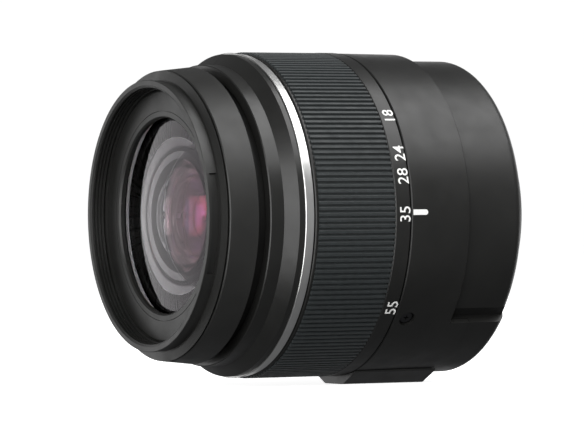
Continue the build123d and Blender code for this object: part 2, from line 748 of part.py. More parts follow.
tooth_root_radius = idler_radius_from_axis + idler_pitch_radius + tooth_height
tooth_crest_radius = idler_radius_from_axis + idler_pitch_radius - tooth_height * 0.8
ring_phase = gear_angle + 180 / ring_teeth
with BuildPart() as focus_cam_ring:
    ring(focus_cam_rear, focus_cam_front, focus_cam_inner_radius, focus_cam_radius)
    with BuildSketch(facing(focus_cam_rear)) as section:
        Circle((tooth_root_radius + focus_cam_radius) / 2)
        with BuildLine():
            Polyline(*gear_outline(ring_teeth, tooth_root_radius, tooth_crest_radius,
                                   ring_phase), close=True)
        make_face(mode=Mode.SUBTRACT)
    extrude(section.sketch, amount=toothed_length)
    for third in thirds:
        place = cell_pin_angle + third
        cam_slot(place + focus_turn, place, cell_pin_forward - focus_travel, cell_pin_forward,
                 focus_cam_inner_radius - overrun / 2, focus_cam_radius + overrun / 2,
                 cell_pin_radius + pin_fit)
        pin(focus_key_forward, focus_key_angle + third, focus_cam_inner_radius - overrun / 2,
            focus_cam_radius + overrun / 2, focus_key_radius, Mode.SUBTRACT)
finish(focus_cam_ring, "focus_cam_ring")

# Three keys that join the focus ring to the focus cam ring
with BuildPart() as focus_keys:
    for third in thirds:
        pin(focus_key_forward, focus_key_angle + third, focus_cam_inner_radius,
            focus_inner_radius + focus_key_depth, focus_key_radius)
finish(focus_keys, "focus_keys")

# Idler gear on the post of the front barrel
idler_bore_fit = 0.06
with BuildPart() as idler_gear:
    with BuildSketch(facing(gear_rear)) as section:
        hub = spot(0, idler_radius_from_axis, gear_angle)
        with BuildLine():
            Polyline(*gear_outline(idler_teeth, idler_pitch_radius - tooth_height,
                                   idler_pitch_radius + tooth_height * 0.8, gear_angle,
                                   (hub.X, hub.Z)), close=True)
        make_face()
        with Locations((hub.X, hub.Z)):
            Circle(idler_post_radius + idler_bore_fit, mode=Mode.SUBTRACT)
    extrude(section.sketch, amount=gear_face_width)
finish(idler_gear, "idler_gear")

# Focus motor behind the web of the front barrel
motor_length = 10.5
motor_bush_radius = 1.4
motor_bush_length = 0.8
motor_terminal_length = 1.2
motor_rear = front_web_rear - motor_length
with BuildPart() as focus_motor:
    post(motor_rear, front_web_rear, motor_radius_from_axis, motor_angle, motor_radius)
    post(motor_rear - motor_bush_length, motor_rear, motor_radius_from_axis, motor_angle,
         motor_bush_radius)
    post(front_web_rear - 3 * motor_bush_length, front_web_rear, motor_radius_from_axis,
         motor_angle, motor_shaft_radius + pin_fit, Mode.SUBTRACT)
finish(focus_motor, "focus_motor")

# Motor shaft with its pinion
hub = spot(0, idler_radius_from_axis, gear_angle)
pinion_hub = spot(0, motor_radius_from_axis, motor_angle)
mesh_line = degrees(atan2(pinion_hub.Z - hub.Z, pinion_hub.X - hub.X))
pinion_phase = (mesh_line + 180 + 180 / pinion_teeth
                + (mesh_line - gear_angle) * idler_teeth / pinion_teeth)
with BuildPart() as motor_pinion:
    post(front_web_rear - 2 * motor_bush_length, gear_rear, motor_radius_from_axis,
         motor_angle, motor_shaft_radius)
    with BuildSketch(facing(gear_rear)) as section:
        with BuildLine():
            Polyline(*gear_outline(pinion_teeth, pinion_pitch_radius - tooth_height,
                                   pinion_pitch_radius + tooth_height * 0.8, pinion_phase,
                                   (pinion_hub.X, pinion_hub.Z)), close=True)
        make_face()
    extrude(section.sketch, amount=gear_face_width)
finish(motor_pinion, "motor_pinion")

# Filter ring: collar, hood bayonet recesses and the filter thread
thread_step = 0.4
thread_depth = 0.4
thread_pitch = 0.75
thread_grooves = 3
relief_depth = 0.5
relief_length = 0.35
collar_step = 0.1
collar_fall = 1.65
neck_step = 0.45
rim_stand = 0.1
rim_length = 0.35
rim_lead_in = 0.35
hood_recess_depth = 0.6
hood_lip_length = 0.8
hood_recess_half_angle = 21.5
hood_recess_angle = -3.6
ledge_thickness = 0.3
ledge_width = 0.6
name_seat_step = 0.3
name_ring_thickness = 1.2
relief_setback = 0.3
thread_major_radius = front_inner_radius - thread_step
thread_minor_radius = thread_major_radius - thread_depth
relief_radius = thread_major_radius + relief_depth
name_seat_radius = thread_minor_radius - name_seat_step
ledge_inner_radius = name_seat_radius - ledge_width
spigot_radius = front_inner_radius - running_fit / 2
collar_rear_radius = focus_front_radius - collar_step
collar_front_radius = collar_rear_radius - collar_fall
filter_neck_radius = collar_front_radius - neck_step
rim_radius = filter_neck_radius + rim_stand
hood_floor_radius = filter_neck_radius - hood_recess_depth
hood_recess_rear = collar_front + running_fit
hood_recess_front = filter_front - hood_lip_length
name_ring_rear = filter_ledge_rear + ledge_thickness
name_ring_front = name_ring_rear + name_ring_thickness
relief_rear = name_ring_front + relief_setback
relief_front = relief_rear + relief_length
thread_front = filter_front - rim_lead_in
with BuildPart() as filter_ring:
    outline = [(filter_ledge_rear, ledge_inner_radius), (filter_ledge_rear, spigot_radius),
               (collar_rear, spigot_radius), (collar_rear, collar_rear_radius - edge_break),
               (collar_rear + edge_break, collar_rear_radius),
               (collar_front, collar_front_radius), (collar_front, filter_neck_radius),
               (filter_front - rim_length, filter_neck_radius),
               (filter_front - rim_length, rim_radius),
               (filter_front - edge_break / 2, rim_radius),
               (filter_front, rim_radius - edge_break / 2),
               (filter_front, thread_major_radius + edge_break / 2),
               (thread_front, thread_minor_radius)]
    for groove in range(thread_grooves):
        groove_front = thread_front - (groove + 0.5) * thread_pitch
        groove_rear = groove_front - thread_pitch / 2
        outline.append((groove_front, thread_minor_radius))
        outline.append((groove_front, thread_major_radius))
        outline.append((groove_rear, thread_major_radius))
        outline.append((groove_rear, thread_minor_radius))
    outline += [(relief_front, thread_minor_radius), (relief_front, relief_radius),
                (relief_rear, relief_radius), (relief_rear, name_seat_radius),
                (name_ring_rear, name_seat_radius), (name_ring_rear, ledge_inner_radius)]
    turned(outline)
    for third in thirds:
        place = hood_recess_angle + third
        arc_ring(hood_recess_rear, hood_recess_front, hood_floor_radius, rim_radius + overrun,
                 place - hood_recess_half_angle, place + hood_recess_half_angle, Mode.SUBTRACT)
finish(filter_ring, "filter_ring")

# Name ring behind the filter thread, with a fine groove and an inner lip
name_ring_width = 6.05
name_groove_setback = 1.4
name_groove_width = 0.12
name_groove_depth = 0.25
lip_bevel = 0.35
name_ring_radius = name_seat_radius - running_fit / 2
name_opening_radius = name_ring_radius - name_ring_width
name_groove_radius = name_opening_radius + name_groove_setback
with BuildPart() as name_ring:
    turned([(name_ring_rear, name_opening_radius), (name_ring_rear, name_ring_radius),
            (name_ring_front - name_groove_depth, name_ring_radius),
            (name_ring_front, name_ring_radius - 2 * name_groove_depth),
            (name_ring_front, name_groove_radius + name_groove_width),
            (name_ring_front - name_groove_depth, name_groove_radius + name_groove_width),
            (name_ring_front - name_groove_depth, name_groove_radius),
            (name_ring_front, name_groove_radius),
            (name_ring_front, name_opening_radius + lip_bevel),
            (name_ring_front - lip_bevel, name_opening_radius)])
finish(name_ring, "name_ring")

# Lens elements: forward places of the two faces on the axis, their radii and the rim
def sag(curve, radius):
    """How far a face of a given curve falls back at a radius; flat where the curve is 0."""
    if curve == 0:
        return 0
    size = abs(curve)
    return (size - sqrt(size ** 2 - radius ** 2)) * (1 if curve > 0 else -1)


def lens(name, front, front_curve, rear, rear_curve, radius, flat=0):
    """Glass element; a curve is positive where its centre lies to the rear of the face."""
    rear_rim = radius - flat
    front_edge = front - sag(front_curve, radius)
    rear_edge = rear - sag(rear_curve, rear_rim)
    front_middle = (front - sag(front_curve, radius / 2), radius / 2)
    rear_middle = (rear - sag(rear_curve, rear_rim / 2), rear_rim / 2)
    with BuildPart() as element:
        with BuildSketch(half_plane()) as section:
            with BuildLine():
                Line((rear, 0), (front, 0))
                ThreePointArc((front, 0), front_middle, (front_edge, radius))
                Line((front_edge, radius), (rear_edge, radius))
                if flat > 0:
                    Line((rear_edge, radius), (rear_edge, rear_rim))
                ThreePointArc((rear_edge, rear_rim), rear_middle, (rear, 0))
            make_face()
        revolve(axis=Axis.Y)
    finish(element, name)


# Front lens group: cell with its guide band, four elements, retaining ring and pins
element_fit = 0.05
element_step = 3.2
front_element_thickness = 2.2
front_element_flat = 6.2
front_curve_share = 4.9      # of the element's radius
front_rear_curve_share = 1.486
cell_wall = 1.1
cell_shoulder_thickness = 0.9
band_radius = focus_cam_inner_radius - running_fit
band_wall = 1.4
band_web = 1.0
snout_length = 5.0       # behind the web of the front barrel
cell_gap = 0.2           # from the name ring, with the group moved forward
retainer_length = 0.72
cell_front = name_ring_rear - cell_gap
snout_rear = front_web_rear - snout_length + focus_travel
front_element_radius = guide_inner_radius - element_step
front_element_curve = front_curve_share * front_element_radius
front_element_rear_curve = front_rear_curve_share * (front_element_radius - front_element_flat)
front_rim_forward = cell_front - retainer_length
front_vertex = front_rim_forward + sag(front_element_curve, front_element_radius)
front_element_rear = front_vertex - front_element_thickness
element_seat = front_element_rear - sag(front_element_rear_curve,
                                        front_element_radius - front_element_flat)
cell_bore = front_element_radius + element_fit
cell_radius = cell_bore + cell_wall
retainer_bore_depth = 0.7
retainer_radius = cell_bore + retainer_bore_depth * 0.9
with BuildPart() as front_cell:
    turned([(snout_rear, snout_bore - cell_wall), (snout_rear, snout_bore + snout_wall),
            (element_seat - cell_shoulder_thickness, snout_bore + snout_wall),
            (element_seat - cell_shoulder_thickness, cell_radius), (band_rear, cell_radius),
            (band_rear, band_radius), (band_front, band_radius),
            (band_front, band_radius - band_wall), (band_rear + band_web, band_radius - band_wall),
            (band_rear + band_web, cell_radius), (cell_front, cell_radius),
            (cell_front, retainer_radius), (front_rim_forward + element_fit, retainer_radius),
            (front_rim_forward + element_fit, cell_bore), (element_seat, cell_bore),
            (element_seat, snout_bore + cell_wall),
            (element_seat - cell_shoulder_thickness, snout_bore),
            (snout_rear + cell_wall, snout_bore),
            (snout_rear + cell_wall, snout_bore - cell_wall)])
    for third in thirds:
        pin(cell_pin_forward, cell_pin_angle + third, band_radius - band_wall - overrun / 2,
            band_radius + overrun / 2, cell_pin_radius, Mode.SUBTRACT)
finish(front_cell, "front_cell")

with BuildPart() as cell_pins:
    for third in thirds:
        pin(cell_pin_forward, cell_pin_angle + third, band_radius - band_wall,
            front_radius - running_fit, cell_pin_radius)
finish(cell_pins, "cell_pins")

retainer_cover = 0.5
retainer_lead = 0.35
retainer_inner_radius = front_element_radius - retainer_cover
with BuildPart() as element_retainer:
    turned([(front_rim_forward + element_fit, cell_bore),
            (front_rim_forward + element_fit, retainer_radius), (cell_front, retainer_radius),
            (cell_front, retainer_inner_radius),
            (front_rim_forward + element_fit + retainer_lead, retainer_inner_radius)])
finish(element_retainer, "element_retainer")

lens("lens_1", front_vertex, front_element_curve, front_element_rear, front_element_rear_curve,
     front_element_radius, front_element_flat)

small_radius = snout_bore - element_fit
lens_4_setback = 2.6
lens_4_thickness = 1.3
lens_3_setback = 4.3
lens_3_thickness = 2.6
lens_2_setback = 7.9
lens_2_thickness = 1.1
# Curves as shares of the radius of these elements
lens_2_curve_share = 4.6
lens_3_curve_share = 2.6
lens_3_rear_curve_share = 9.2
lens_4_curve_share = 6.9
lens_4_rear_curve_share = 15.3
lens_2_rear = snout_rear + lens_2_setback
lens_3_rear = snout_rear + lens_3_setback
lens_4_rear = snout_rear + lens_4_setback
lens_2_front = lens_2_rear + lens_2_thickness
lens_3_front = lens_3_rear + lens_3_thickness
lens_4_front = lens_4_rear + lens_4_thickness
lens("lens_2", lens_2_front, -lens_2_curve_share * small_radius, lens_2_rear,
     lens_2_curve_share * small_radius, small_radius)
lens("lens_3", lens_3_front, lens_3_curve_share * small_radius, lens_3_rear,
     lens_3_rear_curve_share * small_radius, small_radius)
lens("lens_4", lens_4_front, lens_4_curve_share * small_radius, lens_4_rear,
     lens_4_rear_curve_share * small_radius, small_radius)

# Rear lens group: frame with three followers, seven elements and the iris
group_ring_rear_length = 4.0
group_ring_front_length = 6.0
group_ring_wall = 1.3
group_web_thickness = 2.0
tube_rear_length = 10.5
tube_front_length = 8.0
tube_bore = 10.6
tube_wall = 1.6
bar_step = 3.4
bar_thickness = 1.4
bar_half_angle = 2.6
bar_margin_angle = 3.0
group_rear = rear_pin_forward - group_ring_rear_length
group_ring_front = rear_pin_forward + group_ring_front_length
group_web_rear = rear_pin_forward - group_web_thickness / 2
group_web_front = rear_pin_forward + group_web_thickness / 2
tube_rear = rear_pin_forward - tube_rear_length
tube_front = rear_pin_forward + tube_front_length
group_radius = guide_inner_radius - running_fit
bar_radius = guide_inner_radius - bar_step
bar_inner_radius = bar_radius - bar_thickness
with BuildPart() as rear_group_frame:
    turned([(tube_rear, tube_bore - cell_wall), (tube_rear, tube_bore + tube_wall),
            (group_web_rear, tube_bore + tube_wall),
            (group_web_rear, group_radius - group_ring_wall),
            (group_rear, group_radius - group_ring_wall), (group_rear, group_radius),
            (group_ring_front, group_radius), (group_ring_front, group_radius - group_ring_wall),
            (group_web_front, group_radius - group_ring_wall),
            (group_web_front, tube_bore + tube_wall), (tube_front, tube_bore + tube_wall),
            (tube_front, tube_bore), (tube_rear + cell_wall, tube_bore),
            (tube_rear + cell_wall, tube_bore - cell_wall)])
    arc_ring(group_web_rear - overrun, group_web_front + overrun, bar_inner_radius - pin_fit * 3,
             bar_radius + pin_fit * 3, bar_angle - bar_half_angle - bar_margin_angle,
             bar_angle + bar_half_angle + bar_margin_angle + iris_turn, Mode.SUBTRACT)
    for third in thirds:
        pin(rear_pin_forward, rear_pin_angle + third, group_radius - group_ring_wall - overrun,
            group_radius + overrun, rear_pin_radius, Mode.SUBTRACT)
finish(rear_group_frame, "rear_group_frame")

with BuildPart() as rear_followers:
    for third in thirds:
        pin(rear_pin_forward, rear_pin_angle + third, group_radius - group_ring_wall, cam_radius,
            rear_pin_radius)
finish(rear_followers, "rear_followers")

group_element_radius = tube_bore - element_fit
tube_length = tube_front - tube_rear
# For each element: front and rear place along the tube, then the two curves over the bore
element_shares = [
    (0.989, 3.8, 0.832, -7.5),
    (0.811, 5.7, 0.649, -5.7),
    (0.648, -5.7, 0.589, 5.7),
    (0.481, -6.6, 0.422, 4.7),
    (0.384, 4.7, 0.292, 19),
    (0.259, 7.5, 0.157, -19),
    (0.143, -28, 0.097, 8.5),
]
for index, (front_share, curve_share, rear_share, back_share) in enumerate(element_shares):
    lens(f"lens_{index + 5}", tube_rear + front_share * tube_length, curve_share * tube_bore,
         tube_rear + rear_share * tube_length, back_share * tube_bore, group_element_radius)

# Iris: base plate with a rim, ring with cam slots, seven blades and a cover
iris_opening_step = 2.0
iris_width = 8.9
iris_rim_wall = 1.0
iris_collar_wall = 0.5
iris_base_thickness = 0.8
iris_ring_thickness = 0.5
iris_play = 0.1
blade_count = 7
blade_thickness = 0.14
blade_step = 0.24
blade_width = 4.2
blade_start_angle = -8
blade_end_angle = 114
blade_pivot_step = 1.0
blade_pin_offset = 4.0
blade_pin_radius = 0.4
blade_ear_radius = 1.2
iris_cover_thickness = 0.7
fork_half_angle = 5.0
fork_reach = 0.6
fork_fit_angle = 0.4
slot_steps = 6
iris_opening_radius = tube_bore - iris_opening_step
iris_radius = iris_opening_radius + iris_width
iris_ring_radius = iris_radius - 1.5 * iris_rim_wall
fork_radius = bar_radius + fork_reach
blade_inner_radius = iris_opening_radius + iris_play
blade_outer_radius = blade_inner_radius + blade_width
blade_pivot_radius = blade_outer_radius + blade_pivot_step
ring_rear = tube_front + iris_base_thickness + iris_play
ring_front = ring_rear + iris_ring_thickness
first_blade_rear = ring_front + iris_play
iris_cover_rear = first_blade_rear + blade_count * blade_step
iris_cover_front = iris_cover_rear + iris_cover_thickness
ring_bore = iris_opening_radius + iris_collar_wall + running_fit


def blade_pivot(index):
    """Place of a blade's pivot, across the axis."""
    angle = radians(index * 360 / blade_count)
    return Vector(blade_pivot_radius * cos(angle), blade_pivot_radius * sin(angle))


def blade_pin(index, swing):
    """Place of a blade's drive pin when it has swung in by an angle."""
    angle = radians(index * 360 / blade_count + 90 + swing)
    return blade_pivot(index) + Vector(cos(angle), sin(angle)) * blade_pin_offset


with BuildPart() as iris_base:
    turned([(tube_front, iris_opening_radius), (tube_front, iris_radius),
            (iris_cover_rear, iris_radius), (iris_cover_rear, iris_radius - iris_rim_wall),
            (tube_front + iris_base_thickness, iris_radius - iris_rim_wall),
            (tube_front + iris_base_thickness, iris_opening_radius + iris_collar_wall),
            (ring_front, iris_opening_radius + iris_collar_wall),
            (ring_front, iris_opening_radius)])
    arc_ring(tube_front + iris_base_thickness, iris_cover_rear + overrun,
             iris_radius - 2 * iris_rim_wall, iris_radius + overrun,
             bar_angle - fork_half_angle - bar_margin_angle,
             bar_angle + fork_half_angle + bar_margin_angle + iris_turn, Mode.SUBTRACT)
finish(iris_base, "iris_base")

with BuildPart() as iris_cover:
    ring(iris_cover_rear, iris_cover_front, blade_inner_radius, iris_radius)
    for index in range(blade_count):
        place = blade_pivot(index)
        with BuildSketch(facing(iris_cover_rear)) as hole:
            with Locations(place):
                Circle(blade_pin_radius + element_fit)
        extrude(hole.sketch, amount=iris_cover_thickness, mode=Mode.SUBTRACT)
finish(iris_cover, "iris_cover")

with BuildPart() as iris_ring:
    ring(ring_rear, ring_front, ring_bore, iris_ring_radius)
    arc_ring(ring_rear, ring_front, iris_ring_radius - iris_collar_wall, fork_radius,
             bar_angle - fork_half_angle, bar_angle + fork_half_angle)
    arc_ring(ring_rear - overrun, ring_front + overrun, bar_inner_radius - 3 * pin_fit,
             fork_radius + overrun, bar_angle - bar_half_angle - fork_fit_angle,
             bar_angle + bar_half_angle + fork_fit_angle, Mode.SUBTRACT)
    for index in range(blade_count):
        track = []
        for step in range(slot_steps + 1):
            done = step / slot_steps
            track.append(blade_pin(index, blade_swing * (1 - done))
                         .rotate(Axis.Z, -iris_turn * done))
        with BuildSketch(facing(ring_rear)) as slot:
            for near, far in zip(track, track[1:]):
                middle = (near + far) / 2
                run = far - near
                with Locations(Location((middle.X, middle.Y), degrees(atan2(run.Y, run.X)))):
                    SlotCenterToCenter(run.length, 2 * (blade_pin_radius + pin_fit))
        extrude(slot.sketch, amount=iris_ring_thickness, mode=Mode.SUBTRACT)
finish(iris_ring, "iris_ring")

# Seven iris blades, each in its own layer, modelled swung in to the smallest opening
for index in range(blade_count):
    pivot = blade_pivot(index)
    turn = index * 360 / blade_count
    blade_rear = first_blade_rear + index * blade_step
    with BuildPart() as blade:
        with BuildSketch(facing(blade_rear)) as shape:
            with BuildLine():
                inner = CenterArc((0, 0), blade_inner_radius, turn + blade_start_angle,
                                  blade_end_angle - blade_start_angle)
                outer = CenterArc((0, 0), blade_outer_radius, turn + blade_start_angle,
                                  blade_end_angle - blade_start_angle)
                Line(inner @ 0, outer @ 0)
                Line(inner @ 1, outer @ 1)
            make_face()
            with Locations(pivot, blade_pin(index, 0)):
                Circle(blade_ear_radius)
            ear = (pivot + blade_pin(index, 0)) / 2
            with Locations(Location((ear.X, ear.Y), turn + 90)):
                SlotCenterToCenter(blade_pin_offset, 2 * blade_ear_radius)
        extrude(shape.sketch, amount=blade_thickness)
        with BuildSketch(facing(blade_rear + blade_thickness)) as front_pin:
            with Locations(pivot):
                Circle(blade_pin_radius)
        extrude(front_pin.sketch,
                amount=iris_cover_front - iris_play - blade_rear - blade_thickness)
        with BuildSketch(facing(blade_rear)) as rear_pin:
            with Locations(blade_pin(index, 0)):
                Circle(blade_pin_radius)
        extrude(rear_pin.sketch, amount=ring_rear - blade_rear)
    hinge = Axis(spot(0, blade_pivot_radius, turn), (0, -1, 0))
    swung = blade.part.rotate(hinge, blade_swing)
    swung.label = f"blade_{index + 1}"
    export_step(swung, f"parts/blade_{index + 1}.step")

# Aperture lever: ring in the base plate, rear lever, and the bar that turns the iris ring
lever_ring_thickness = 1.1
lever_ring_rear = mount_thickness + running_fit
lever_angle = 0
lever_half_angle = 3.0
lever_thickness = 1.1
lever_reach = 3.0
lever_ring_lip = 0.2
bar_spare = 2.0
lever_inner_radius = bar_radius - lever_thickness
bar_front = ring_front + tele_turn * rear_rate + bar_spare
with BuildPart() as aperture_lever:
    ring(lever_ring_rear, lever_ring_rear + lever_ring_thickness,
         bar_inner_radius - lever_ring_lip, lever_seat_radius - running_fit)
    arc_ring(lever_ring_rear + lever_ring_thickness / 2, bar_front, bar_inner_radius, bar_radius,
             bar_angle - bar_half_angle, bar_angle + bar_half_angle)
    arc_ring(-lever_reach, lever_ring_rear + lever_ring_thickness / 2, lever_inner_radius,
             bar_radius, lever_angle - lever_half_angle, lever_angle + lever_half_angle)
finish(aperture_lever, "aperture_lever")

# Rear baffle with its rectangular window, and a notch for the aperture lever
baffle_setback = 0.5
baffle_thickness = 0.8
baffle_width_share = 0.6
baffle_height_share = 0.45
notch_margin_angle = 3
baffle_half_width = baffle_width_share * throat_radius
baffle_half_height = baffle_height_share * throat_radius
baffle_front = -baffle_setback
baffle_rear = baffle_front - baffle_thickness
with BuildPart() as rear_baffle:
    with BuildSketch(facing(baffle_rear)) as section:
        Circle(throat_radius)
        RectangleRounded(2 * baffle_half_width, 2 * baffle_half_height, baffle_half_height / 5,
                         mode=Mode.SUBTRACT)
    extrude(section.sketch, amount=baffle_thickness)
    arc_ring(baffle_rear - overrun, baffle_front + overrun, lever_inner_radius - 3 * pin_fit,
             throat_radius + overrun, lever_angle - lever_half_angle - notch_margin_angle,
             lever_angle + lever_half_angle + notch_margin_angle + iris_turn, Mode.SUBTRACT)
finish(rear_baffle, "rear_baffle")

# Contact block with eight sprung contact pins
block_width = 4.6
block_length = 3.0
block_half_angle = 29
contact_angle = -90
contact_count = 8
contact_spacing_angle = 6.6
contact_radius = 0.55
contact_reach = 0.45
contact_depth = 1.6
block_inner_radius = throat_radius - block_width
block_rear = baffle_rear - block_length
contact_circle = (block_inner_radius + throat_radius) / 2


def contact_places():
    """Angles of the contact pins."""
    first = contact_angle - contact_spacing_angle * (contact_count - 1) / 2
    return [first + index * contact_spacing_angle for index in range(contact_count)]


with BuildPart() as contact_block:
    arc_ring(block_rear, baffle_rear, block_inner_radius, throat_radius,
             contact_angle - block_half_angle, contact_angle + block_half_angle)
    for angle in contact_places():
        post(block_rear, block_rear + contact_depth, contact_circle, angle, contact_radius,
             Mode.SUBTRACT)
finish(contact_block, "contact_block")

with BuildPart() as contact_pins:
    for angle in contact_places():
        post(block_rear - contact_reach, block_rear + contact_depth, contact_circle, angle,
             contact_radius)
    fillet(contact_pins.faces().sort_by(Axis.Y)[-contact_count:].edges(), contact_radius / 2)
finish(contact_pins, "contact_pins")

# Circuit board on the base plate, with its chips
board_thickness = 1.0
board_inner_radius = guide_radius + sleeve_gap
board_radius = sleeve_inner_radius - running_fit
board_angles = (205, 345)
chip_angles = (222, 244, 268, 290, 314, 332)
chip_height_shares = (0.9, 1.3, 0.7, 1.1, 0.9, 0.7)
chip_half_angle = 3.4
board_front = base_front + board_thickness
with BuildPart() as circuit_board:
    arc_ring(base_front, board_front, board_inner_radius, board_radius, *board_angles)
finish(circuit_board, "circuit_board")

with BuildPart() as board_chips:
    for angle, height_share in zip(chip_angles, chip_height_shares):
        arc_ring(board_front, board_front + height_share * board_thickness,
                 board_inner_radius + running_fit, board_radius - running_fit * 2,
                 angle - chip_half_angle, angle + chip_half_angle)
finish(board_chips, "board_chips")
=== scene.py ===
import bpy, bmesh
from math import cos, pi, radians, sin
from mathutils import Matrix, Vector


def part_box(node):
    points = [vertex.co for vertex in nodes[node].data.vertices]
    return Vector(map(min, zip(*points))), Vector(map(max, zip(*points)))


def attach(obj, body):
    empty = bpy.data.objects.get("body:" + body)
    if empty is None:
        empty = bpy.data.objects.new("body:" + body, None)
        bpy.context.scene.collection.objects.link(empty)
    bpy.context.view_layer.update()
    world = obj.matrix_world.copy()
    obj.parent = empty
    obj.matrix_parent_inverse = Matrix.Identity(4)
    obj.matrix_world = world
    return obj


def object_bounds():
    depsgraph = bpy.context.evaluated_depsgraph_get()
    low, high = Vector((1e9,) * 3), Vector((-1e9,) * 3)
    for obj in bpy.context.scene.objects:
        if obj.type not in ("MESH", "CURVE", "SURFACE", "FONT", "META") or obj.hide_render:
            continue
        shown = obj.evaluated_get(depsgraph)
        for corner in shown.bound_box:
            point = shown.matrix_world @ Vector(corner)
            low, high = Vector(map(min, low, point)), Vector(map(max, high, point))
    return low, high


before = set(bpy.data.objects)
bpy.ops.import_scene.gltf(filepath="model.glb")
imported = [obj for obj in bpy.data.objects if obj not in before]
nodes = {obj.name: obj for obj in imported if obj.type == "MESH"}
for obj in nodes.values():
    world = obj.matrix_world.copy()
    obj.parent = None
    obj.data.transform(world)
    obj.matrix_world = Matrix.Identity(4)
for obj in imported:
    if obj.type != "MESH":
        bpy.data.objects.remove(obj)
cad_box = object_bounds()
MM = 0.001

# Places on the lens are in millimetres and degrees. Forward runs from the camera mount to the
# front of the lens, along -Y, and angles run from +X towards +Z.

# The fixed barrel widens towards the front
BARREL_REAR, BARREL_LENGTH = 15.1, 14.2
BARREL_REAR_RADIUS, BARREL_WIDENING = 34.5, 0.15

# Focal lengths on the zoom ring, each with its angle at rest
SCALE_RADIUS = 34.75
SCALE_FORWARD = 31.0
SCALE_NUMBERS = (("18", 36.7), ("24", 21.5), ("28", 13.2), ("35", 0.0), ("55", -34.5))
NUMBER_HEIGHT = 2.5

# Type of the numbers: a numeral's share of the font size, then spacing, weight and smoothness
NUMERAL_SHARE = 0.7
NUMBER_SPACING = 1.02
NUMBER_WEIGHT = 0.012
NUMBER_SMOOTHNESS = 6

# White index line on the fixed barrel
MARK_REAR, MARK_FRONT = 25.44, 28.98
MARK_ANGLE, MARK_WIDTH = 0.6, 1.15
MARK_ROUND_STEPS = 10

# Print stands this far over the surface and sinks this far into it
PRINT_LIFT = 0.02
PRINT_DEPTH = 0.04

# Half the thickness of a mark while it is still flat
FLAT_HALF_THICKNESS = 0.05

# First element, measured back from its vertex: how far its front face reaches, and where the
# white painted reflection on its edge starts, behind a bevel that stays dark
FRONT_FACE_DEPTH = 2.15
REFLECTION_START_DEPTH = 3.6

# White painted reflection, coloured like ground glass: how near it lies to the element's largest
# radius and to its flat rear, and its look
EDGE_BAND = 0.3
PLANE_BAND = 0.03
PAINTED_REFLECTION_ROUGHNESS = 0.8
# Painted reflection: this white stands in for the bright reflection band on the first element
PAINTED_REFLECTION_WHITE = (0.93, 0.89, 0.91)

# Clear glass of the first element: refractive index, tint, and the reflection of each face
FRONT_INDEX = 1.7
FRONT_TINT = (0.96, 0.98, 1.0)
FRONT_COATING = (0.25, 0.2, 0.24)
REAR_COATING = (0.35, 0.07, 0.1)

# Colours
BLACK = (0.0115, 0.0115, 0.0108)
KNOB_BLACK = (0.016, 0.016, 0.016)
RUBBER_BLACK = (0.0165, 0.0205, 0.0215)
TRAP_BLACK = (0.004, 0.004, 0.004)
SILVER = (0.66, 0.66, 0.65)
STEEL = (0.55, 0.55, 0.54)
BLACK_STEEL = (0.05, 0.05, 0.052)
BLADE_STEEL = (0.07, 0.07, 0.075)
BRASS = (0.75, 0.55, 0.25)
GOLD = (0.85, 0.62, 0.28)
ACETAL = (0.6, 0.6, 0.55)
PRINT_WHITE = (0.92, 0.92, 0.9)
BOARD_GREEN, BOARD_LIGHT_GREEN = (0.01, 0.09, 0.035), (0.012, 0.12, 0.05)
TRACK_GREEN = (0.02, 0.2, 0.09)
FLOOR_WHITE = (0.9, 0.9, 0.9)
WHITE = (1, 1, 1)
ROOM_LIGHT = (0.97, 0.98, 1)

# Inner elements: body tint, colour of the coating's reflection, refractive index
RED_GLASS = ((1.0, 0.8, 0.82), (0.3, 0.05, 0.09), 1.75)
GREEN_GLASS = ((0.8, 1.0, 0.97), (0.1, 0.45, 0.4), 1.75)
VIOLET_GLASS = ((0.95, 0.86, 1.0), (0.3, 0.15, 0.5), 1.7)

# Relief of the fine grains, in metres
FINE_RELIEF, PLAIN_RELIEF, COARSE_RELIEF = 0.00001, 0.00002, 0.00003

# Part of a noise's range that its tones and values run over
NOISE_LOW, NOISE_HIGH = 0.3, 0.7

# How far the roughness of a plastic or metal drifts down and up
PLASTIC_DRIFT = 0.05
METAL_DRIFT_DOWN, METAL_DRIFT_UP = 0.06, 0.08

# Studio, in metres: name, direction from the lens, distance, width and height, power
FLOOR_SIZE = 6
FLOOR_GLOW = 0.88
BACKDROP_STRENGTH, ROOM_STRENGTH = 1.02, 0.16
LIGHT_TARGET = (0, -0.035, 0)
SOFTBOXES = (
    ("key_softbox", (0.36, 0.45, 0.81), 0.8, (0.8, 0.6), 7.2),
    ("side_softbox", (0.75, 0.45, -0.1), 1.0, (0.7, 1.0), 0.5),
    ("left_softbox", (-0.88, -0.47, 0.0), 1.0, (0.9, 0.9), 3.2),
    ("front_softbox", (0.44, -0.9, 0.0), 0.8, (0.45, 0.9), 5.2),
    ("near_softbox", (0.8, -0.55, 0.25), 0.9, (0.5, 0.5), 5),
    ("back_softbox", (-0.55, 0.8, 0.0), 1.0, (1.0, 0.8), 3),
)

# Camera, solved from the rims of the rings in the photo, in metres and degrees
CAMERA_PLACE = (0.8806, -0.5129, 0.0003)
CAMERA_RIGHT = (0.47379, 0.88063, 0)
CAMERA_BACK = (0.88063, -0.47379, 0)
CAMERA_ROLL = 0.4838
CAMERA_FOCAL_LENGTH, CAMERA_SENSOR = 287.9, 36
CAMERA_NEAR, CAMERA_FAR = 0.05, 50


# Shader building blocks
def fresh(name):
    """New material with one Principled shader."""
    mat = bpy.data.materials.new(name)
    mat.use_nodes = True
    tree = mat.node_tree
    tree.nodes.clear()
    out = tree.nodes.new("ShaderNodeOutputMaterial")
    shader = tree.nodes.new("ShaderNodeBsdfPrincipled")
    tree.links.new(shader.outputs["BSDF"], out.inputs["Surface"])
    return mat, tree, shader


